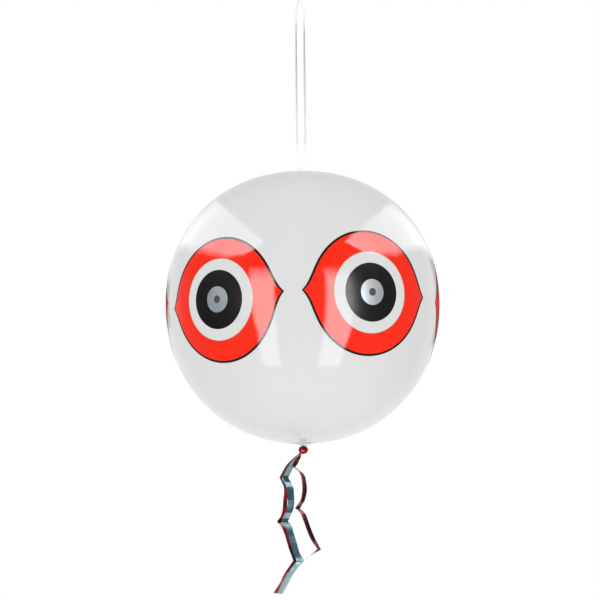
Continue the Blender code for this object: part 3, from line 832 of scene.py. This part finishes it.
def floor():
    bm = bmesh.new()
    bmesh.ops.create_circle(bm, cap_ends=True, segments=FLOOR_STEPS, radius=FLOOR_RADIUS)
    obj = from_bmesh("floor", bm)
    obj.location.z = FLOOR
    look = Look("pale_floor", 0.8)
    look.colour(look.ramp(look.noise(3.0), FLOOR_SHADES))
    obj.data.materials.append(look.material)
    obj.visible_glossy = False


def lamp(name, stand, size, power):
    data = bpy.data.lights.new(name, "AREA")
    data.shape = "DISK"
    data.size = size
    data.energy = power
    obj = link(bpy.data.objects.new(name, data))
    obj.location = stand
    aim = Vector((0, 0, BALL_CENTRE)) - obj.location
    obj.rotation_euler = aim.to_track_quat("-Z", "Y").to_euler()
    obj.visible_glossy = False
    obj.visible_camera = False


# Cord

def spread(narrow, wide, share):
    """How far a strand is from the middle, a share of the way from tied together to fully apart."""
    return narrow + (wide - narrow) * (3 - 2 * share) * share**2


def curve_cord(name, route):
    """A round cord along a route."""
    curve = bpy.data.curves.new(name, "CURVE")
    curve.dimensions = "3D"
    curve.bevel_depth = CORD_RADIUS
    curve.bevel_resolution = BEVEL_STEPS
    curve.use_fill_caps = True
    spline = curve.splines.new("POLY")
    spline.points.add(len(route) - 1)
    for point, spot in zip(spline.points, route):
        point.co = (*spot, 1.0)
    spline.use_smooth = True
    return link(bpy.data.objects.new(name, curve))


def both_sides(right):
    """The whole route, from the right side's points and their mirror image."""
    return [*right, *(Vector((-p.x, 0, p.z)) for p in reversed(right[:-1]))]


def cord_eye(look):
    """The eye at the top end of the doubled cord, above its knot."""
    wide = LOOP_WIDTH / 2
    crown = CORD_RADIUS - wide
    right = []
    for i in range(CORD_EYE_STEPS):
        share = i / CORD_EYE_STEPS
        height = crown - (crown + LOOP_HEIGHT) * (1 - share)
        right.append(Vector((spread(CORD_PAIR, wide, share), 0, height)))
    for i in range(CORD_EYE_STEPS + 1):
        angle = math.pi / 2 * i / CORD_EYE_STEPS
        right.append(Vector((wide * math.cos(angle), 0, crown + wide * math.sin(angle))))
    eye_route = both_sides(right)
    eye = place(curve_cord("cord_eye", eye_route), "hanger", "clear_vinyl", look, "hang_loop")
    return eye, eye_route


def cord_strands(look):
    """The two strands from the knot down to the bend that the tab hangs on."""
    side = STRAND_SPACING / 2
    right = []
    for i in range(BEND_STEPS + 1):
        share = i / BEND_STEPS
        height = STRAND_TOP - STRAND_SPREAD_DROP * share
        right.append(Vector((spread(CORD_PAIR, side, share), 0, height)))
    apart = right[-1]
    low = BIGHT + side
    for i in range(1, STRAND_STEPS):
        right.append(apart.lerp(Vector((side, 0, low)), i / STRAND_STEPS))
    for i in range(BEND_STEPS + 1):
        angle = math.pi / 2 * i / BEND_STEPS
        right.append(Vector((side * math.cos(angle), 0, low - side * math.sin(angle))))
    strand_route = both_sides(right)
    strands = place(curve_cord("cord_strands", strand_route), "cord", "clear_vinyl", look, "hang_cord")
    return strands, strand_route


def cord_knot(look):
    """The round knot, with grooves between the turns of cord that are wound round it."""
    rows = []
    for i in range(1, CORD_KNOT_RINGS):
        angle = math.pi * (i / CORD_KNOT_RINGS - 0.5)
        row = []
        for k in range(CORD_KNOT_COLUMNS):
            turn = 2 * math.pi * k / CORD_KNOT_COLUMNS
            wrap = math.cos(math.pi * HANG_KNOT_WRAPS * i / CORD_KNOT_RINGS + turn / 2) ** 2
            radius = HANG_KNOT_RADIUS * (1 - HANG_KNOT_GROOVE_SHARE * wrap**3)
            aside = radius * math.cos(angle)
            height = KNOT_CENTRE + radius * HANG_KNOT_HEIGHT_SHARE * math.sin(angle)
            row.append((aside * math.cos(turn), aside * math.sin(turn), height))
        rows.append(row)
    knot = grid("cord_knot", rows, wrap=True, fan=True)
    close_last(knot, rows)
    smooth(knot, CORD_KNOT_SHARP)
    place(knot, "swivel", "clear_vinyl", look, "hang_knot")


def cords():
    clear = cord_look()
    eye, eye_route = cord_eye(clear)
    strands, strand_route = cord_strands(clear)
    cord_knot(clear)


# Ball

def film_rises():
    """The angles of the film's rows, from the foot to the top, closer together near the foot."""
    top = pole_rise(POLE_HOLE, TOP_HEIGHT, TOP_EXPONENT)
    bottom = -pole_rise(POLE_HOLE, BOTTOM_HEIGHT, BOTTOM_EXPONENT)
    band = -pole_rise(POLE_BAND, BOTTOM_HEIGHT, BOTTOM_EXPONENT)
    rises = [bottom + (band - bottom) * j / POLE_ROWS for j in range(POLE_ROWS)]
    return rises + [band + (top - band) * j / BALL_ROWS for j in range(BALL_ROWS + 1)]


def seam_share(rise):
    """How far a weld stands out: its bead and its lighter line, partly a painted sheen, fade towards both
    poles.
    """
    level = math.degrees(rise)
    low, high = SEAM_FADE
    return max(0.0, min(1.0, (level - low) / SEAM_FADE_SPAN, (high - level) / SEAM_FADE_SPAN))


def pucker(turn, radius, rise):
    """Small pleats that run out from the valve, where the flat film is drawn in."""
    if rise > 0:
        return 0.0
    fade = math.exp(-((radius / PLEAT_REACH) ** 2))
    flat = math.exp(-((radius / (FLANGE_RADIUS * PLEAT_START_SHARE)) ** 4))
    broad, fine = PLEAT_WAVES
    wave = math.cos(broad * turn + PLEAT_DRIFT * math.sin(2 * turn))
    wave += FINE_PLEAT_SHARE * math.cos(fine * turn + PLEAT_PHASE)
    return PLEAT_DEPTH * fade * (1 - flat) * wave


def gore(number, look):
    """One panel from seam to seam, with half a weld along each side."""
    first = math.radians(SEAM_TURN) + (number - 1) * 2 * math.pi / GORES
    last = first + 2 * math.pi / GORES
    rows, marks = [], []
    for rise in film_rises():
        radius, height = profile(rise)
        out_r, out_z = outward(rise)

        def spot(turn, across, lift):
            """A point of the film: across moves it sideways in metres, lift moves it off the film."""
            point = heading(turn) * radius + heading(turn + math.pi / 2) * across
            if rise < 0:
                near = radius / FLANGE_RADIUS
                lift += FLANGE_DRAW * near * math.exp(-((near / FLANGE_DRAW_SHARE) ** 8))
            point += heading(turn) * lift * out_r
            point.z = height + lift * out_z
            return point

        row, mark = [], []
        shown = seam_share(rise)
        for across, lift, seam in SEAM_PROFILE:
            row.append(spot(first, across, lift * shown if lift > 0 else lift))
            mark.append(seam * shown)
        for i in range(1, FILM_COLUMNS):
            turn = first + (last - first) * i / FILM_COLUMNS
            inset = (last - first) * radius / FILM_COLUMNS
            if inset * min(i, FILM_COLUMNS - i) < SEAM_CLEAR:
                share = (i / FILM_COLUMNS - 0.5) * 2
                turn = (first + last) / 2 + share * ((last - first) / 2 - SEAM_CLEAR / radius)
            row.append(spot(turn, 0, pucker(turn, radius, rise)))
            mark.append(0.0)
        for across, lift, seam in reversed(SEAM_PROFILE):
            row.append(spot(last, -across, lift * shown if lift > 0 else lift))
            mark.append(seam * shown)
        rows.append(row)
        marks.append(mark)
    obj = grid(f"film_gore_{number}", rows, marks=marks)
    face_out(obj)
    thicken(obj, FILM, -1)
    smooth(obj, FILM_SHARP)
    place(obj, "balloon", "film", look, f"gore_{number}")


def eye_place(number):
    """An eye's middle on the ball, and the directions to its right and its top."""
    turn = math.radians(SEAM_TURN + (number - 0.5) * 360 / GORES + PRINT_TURNS[number - 1])
    rise = PRINT_RISE_SHARES[number - 1]
    middle = heading(turn) * math.cos(rise) + Vector((0, 0, math.sin(rise)))
    right = heading(turn + math.pi / 2)
    up = middle.cross(right)
    up = up if up.z > 0 else -up
    roll = math.radians(PRINT_ROLLS[number - 1])
    rolled_right = right * math.cos(roll) + up * math.sin(roll)
    rolled_up = up * math.cos(roll) - right * math.sin(roll)
    return middle, rolled_right, rolled_up


def on_film(eye, bearing, distance, lift):
    """A point off the film, at a bearing and a distance from an eye's middle."""
    middle, right, up = eye
    angle = distance / BALLOON_RADIUS
    aside = right * math.cos(bearing) + up * math.sin(bearing)
    way = middle * math.cos(angle) + aside * math.sin(angle)
    return way * (reach(math.asin(max(-1.0, min(1.0, way.z)))) + lift) + Vector((0, 0, BALL_CENTRE))


def eye_edge(bearing):
    """How far the eye's edge is from its middle: a round drawn out to a point left and right."""
    off_tip = math.degrees(abs(math.asin(math.sin(bearing))))
    return EYE_RADIUS * (1 + (EYE_TIP_SHARE - 1) * math.exp(-off_tip / EYE_TIP_SPREAD))


def skin(name, eye, inner, outer, lift, counts, crowding, edge):
    """A thin printed ring, or a disc where inner is nothing; edge is the width of a marked inner border."""
    steps, rings = counts
    bearings = []
    for i in range(steps):
        bearing = 2 * math.pi * i / steps
        bearings.append(bearing - crowding * math.sin(2 * bearing))
    shares = [j / rings for j in range(rings + 1)]
    if inner is None:
        shares = shares[1:]
    rows, marks = [], []
    for j, share in enumerate(shares):
        row = []
        for bearing in bearings:
            start = inner(bearing) if inner else 0
            row.append(on_film(eye, bearing, start + (outer(bearing) - start) * share, lift))
        rows.append(row)
        marks.append([0.0] * steps)
        if edge and j == 0:
            for width, level in ((edge, 1.0), (edge * TAN_FADE_SHARE, 0.0)):
                rows.append([on_film(eye, b, inner(b) + width, lift) for b in bearings])
                marks.append([level] * steps)
            marks[0] = [1.0] * steps
    obj = grid(name, rows, wrap=True, fan=inner is None, marks=marks)
    face_out(obj)
    thicken(obj, INK_THICKNESS, 1)
    smooth(obj, INK_SHARP)
    return obj


def printed_eye(number, looks):
    """The five printed layers of one eye."""
    eye = eye_place(number)

    def flat(distance):
        return lambda bearing: distance

    def iris_outer(bearing):
        return eye_edge(bearing) - OUTLINE_WIDTH + PRINT_LAP

    def outline_inner(bearing):
        return eye_edge(bearing) - OUTLINE_WIDTH

    pupil_inner = flat(DISC_RADIUS - PRINT_LAP)
    disc_inner = flat(DOT_RADIUS - PRINT_LAP)
    layers = (
        ("iris", flat(RING_RADIUS), iris_outer, IRIS_LIFT, IRIS_GRID, TIP_CROWDING, TAN_EDGE, "red_ink"),
        ("outline", outline_inner, eye_edge, OUTLINE_LIFT, OUTLINE_GRID, TIP_CROWDING, 0, "black_ink"),
        ("pupil", pupil_inner, flat(PUPIL_RADIUS), PUPIL_LIFT, PUPIL_GRID, 0, 0, "black_ink"),
        ("disc", disc_inner, flat(DISC_RADIUS), DISC_LIFT, DISC_GRID, 0, 0, "hologram"),
        ("dot", None, flat(DOT_RADIUS), DOT_LIFT, DOT_GRID, 0, 0, "grey_ink"),
    )
    for layer, inner, outer, lift, counts, crowding, edge, slot in layers:
        obj = skin(f"print_{layer}_{number}", eye, inner, outer, lift, counts, crowding, edge)
        place(obj, "balloon", slot, looks[layer], f"eye_{layer}_{number}")


# Tab and valve

def keep_node(node, look):
    """A CAD node whose shape is right gets a finished material."""
    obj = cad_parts[node]
    obj.data.materials.clear()
    obj.data.materials.append(look)


# Streamer

def smooth_route(points, steps):
    """A smooth line through the points, with so many steps from each to the next."""
    ends = [2 * points[0] - points[1], *points, 2 * points[-1] - points[-2]]
    route = []
    for a, b, c, d in zip(ends, ends[1:], ends[2:], ends[3:]):
        bend = 2 * a - 5 * b + 4 * c - d
        twist = 3 * b - a - 3 * c + d
        for i in range(steps):
            t = i / steps
            swept = 2 * b + (c - a) * t + bend * t**2 + twist * t**3
            route.append(swept / 2)
    return [*route, points[-1]]


def tail_route(leave, leave_turn, table):
    """The strand's middle line from the knot, bent sharply at each crease; w is the tape's turn."""
    side, depth, drop = Vector(leave).normalized() * (RIBBON_KNOT_RADIUS + GAP)
    stations = [Vector((side, depth, RIBBON_KNOT - drop, math.radians(leave_turn)))]
    for down, across, deep, turn, _ in table:
        height = RIBBON_KNOT - down * STREAMER_DROP
        stations.append(Vector((across * TAPE_WIDTH, deep * TAPE_WIDTH, height, math.radians(turn))))
    creases = [i + 1 for i, shares in enumerate(table) if shares[4]]
    ends = [0, *creases, len(table)]
    route = []
    for first, last in zip(ends, ends[1:]):
        piece = smooth_route(stations[first : last + 1], FOIL_STEPS)
        route += piece if not route else piece[1:]
    return route


def foil_rows(route):
    """The foil's middle surface along a route: rows of points, each with the way that the foil faces."""
    rows = []
    for i, spot in enumerate(route):
        share = min(1.0, i / FOIL_STEPS)
        gather = GATHER_SHARE + (1 - GATHER_SHARE) * share
        across = Vector((math.cos(spot.w), math.sin(spot.w), 0))
        normal = Vector((math.sin(spot.w), -math.cos(spot.w), 0))
        row = []
        for k in range(FOIL_COLUMNS + 1):
            off = (k / FOIL_COLUMNS - 0.5) * gather * TAPE_WIDTH
            point = spot.xyz + across * off
            crumple = noise.noise(point * CRUMPLE_SCALE) * CRUMPLE
            row.append((point + normal * crumple, normal))
        rows.append(row)
    return rows


def foil_strip(name, rows):
    """A thin closed strip; its front and its back have a material each, marks go across from 0 to 1."""
    bm = bmesh.new()
    layer = bm.verts.layers.float.new("mark")
    front = [[bm.verts.new(p + n * FOIL_THICKNESS / 2) for p, n in row] for row in rows]
    back = [[bm.verts.new(p - n * FOIL_THICKNESS / 2) for p, n in row] for row in rows]
    for row in (*front, *back):
        for k, vert in enumerate(row):
            vert[layer] = k / FOIL_COLUMNS
    rims = []
    for index, verts in enumerate((front, back)):
        for low, high in zip(verts, verts[1:]):
            for k in range(FOIL_COLUMNS):
                face = bm.faces.new((low[k], low[k + 1], high[k + 1], high[k]))
                face.material_index = index
        right = [row[-1] for row in verts[1:]]
        left = [row[0] for row in reversed(verts[1:-1])]
        rims.append([*verts[0], *right, *reversed(verts[-1][:-1]), *left])
    for k in range(len(rims[0])):
        after = (k + 1) % len(rims[0])
        bm.faces.new((rims[0][k], rims[0][after], rims[1][after], rims[1][k]))
    bmesh.ops.recalc_face_normals(bm, faces=bm.faces)
    return from_bmesh(name, bm)


def tail(name, leave, table, front, back, slot, node):
    """A foil strand, and its length along the middle."""
    route = tail_route(leave, LEAVE_TURNS[node], table)
    obj = foil_strip(name, foil_rows(route))
    smooth(obj, FOIL_SHARP)
    obj.data.materials.append(front)
    place(obj, "streamer", slot, back, node)
    return obj, sum((b.xyz - a.xyz).length for a, b in zip(route, route[1:]))


def foil_knot(look):
    """A hard crumpled knot of foil: creased facets drawn in from a round."""
    bm = bmesh.new()
    bmesh.ops.create_icosphere(bm, subdivisions=FOIL_KNOT_DIVISIONS, radius=RIBBON_KNOT_RADIUS)
    broad, fine = KNOT_RIDGE_SCALES
    for vert in bm.verts:
        way = vert.co.normalized()
        ridges = abs(noise.noise(way * broad)) + abs(noise.noise(way * fine + KNOT_RIDGE_SHIFT)) / 2
        vert.co = way * RIBBON_KNOT_RADIUS * (KNOT_SWELL_SHARE - KNOT_RIDGE_SHARE * ridges)
        vert.co.x = vert.co.x * KNOT_WIDE_SHARE - KNOT_LEAN
        vert.co.z += RIBBON_KNOT
    obj = from_bmesh("foil_knot", bm)
    smooth(obj, FOIL_KNOT_SHARP)
    place(obj, "streamer_knot", "red_foil", look, "ribbon_knot")


camera()
cords()
room()
panels()
floor()
lamp("front_lamp", *FRONT_LAMP)
lamp("low_lamp", *LOW_LAMP)

white_film = film_look()
for number in range(1, GORES + 1):
    gore(number, white_film)
print_looks = {
    "iris": ink_look("red_print", shade(RED_INK, 0.95), shade(RED_INK, 1.02), 0.06, 180.0, TAN_INK),
    "outline": ink_look("black_outline", BLACK_INK, shade(BLACK_INK, 1.3), 0.06),
    "pupil": ink_look("black_pupil", shade(BLACK_INK, 0.6), shade(BLACK_INK, 0.7), 0.24, 30.0),
    "disc": hologram_look(),
    "dot": ink_look("grey_dot", *GREY_INKS, 0.3),
}
for number in range(1, GORES + 1):
    printed_eye(number, print_looks)

keep_node("hang_tab", tab_look())
valve_vinyl = vinyl_look()
for node in ("valve_body", "valve_flap", "valve_plug", "plug_strap"):
    keep_node(node, valve_vinyl)

# Foil materials whose tones are painted light and shade
silver = foil_look("silver_foil", *SILVER_TONES, SILVER_PAINTED_LIGHT)
red = foil_look("red_foil", *RED_TONES, RED_PAINTED_LIGHT)
right_red = foil_look("red_foil_right", *RIGHT_RED_TONES, RIGHT_PAINTED_LIGHT, RIGHT_HALF_SHADES)
foil_knot(knot_look())
for name, leave, table, front, back, slot in (
    ("tail_silver", SILVER_LEAVE_SHARES, SILVER_SHARES, silver, red, "silver_foil"),
    ("tail_red", RED_LEAVE_SHARES, RED_SHARES, red, silver, "red_foil"),
    ("tail_right", RIGHT_LEAVE_SHARES, RIGHT_SHARES, right_red, silver, "red_foil"),
):
    strand, length = tail(name.replace("tail", "foil_strand"), leave, table, front, back, slot, name)

bpy.context.scene.view_settings.view_transform = "Standard"
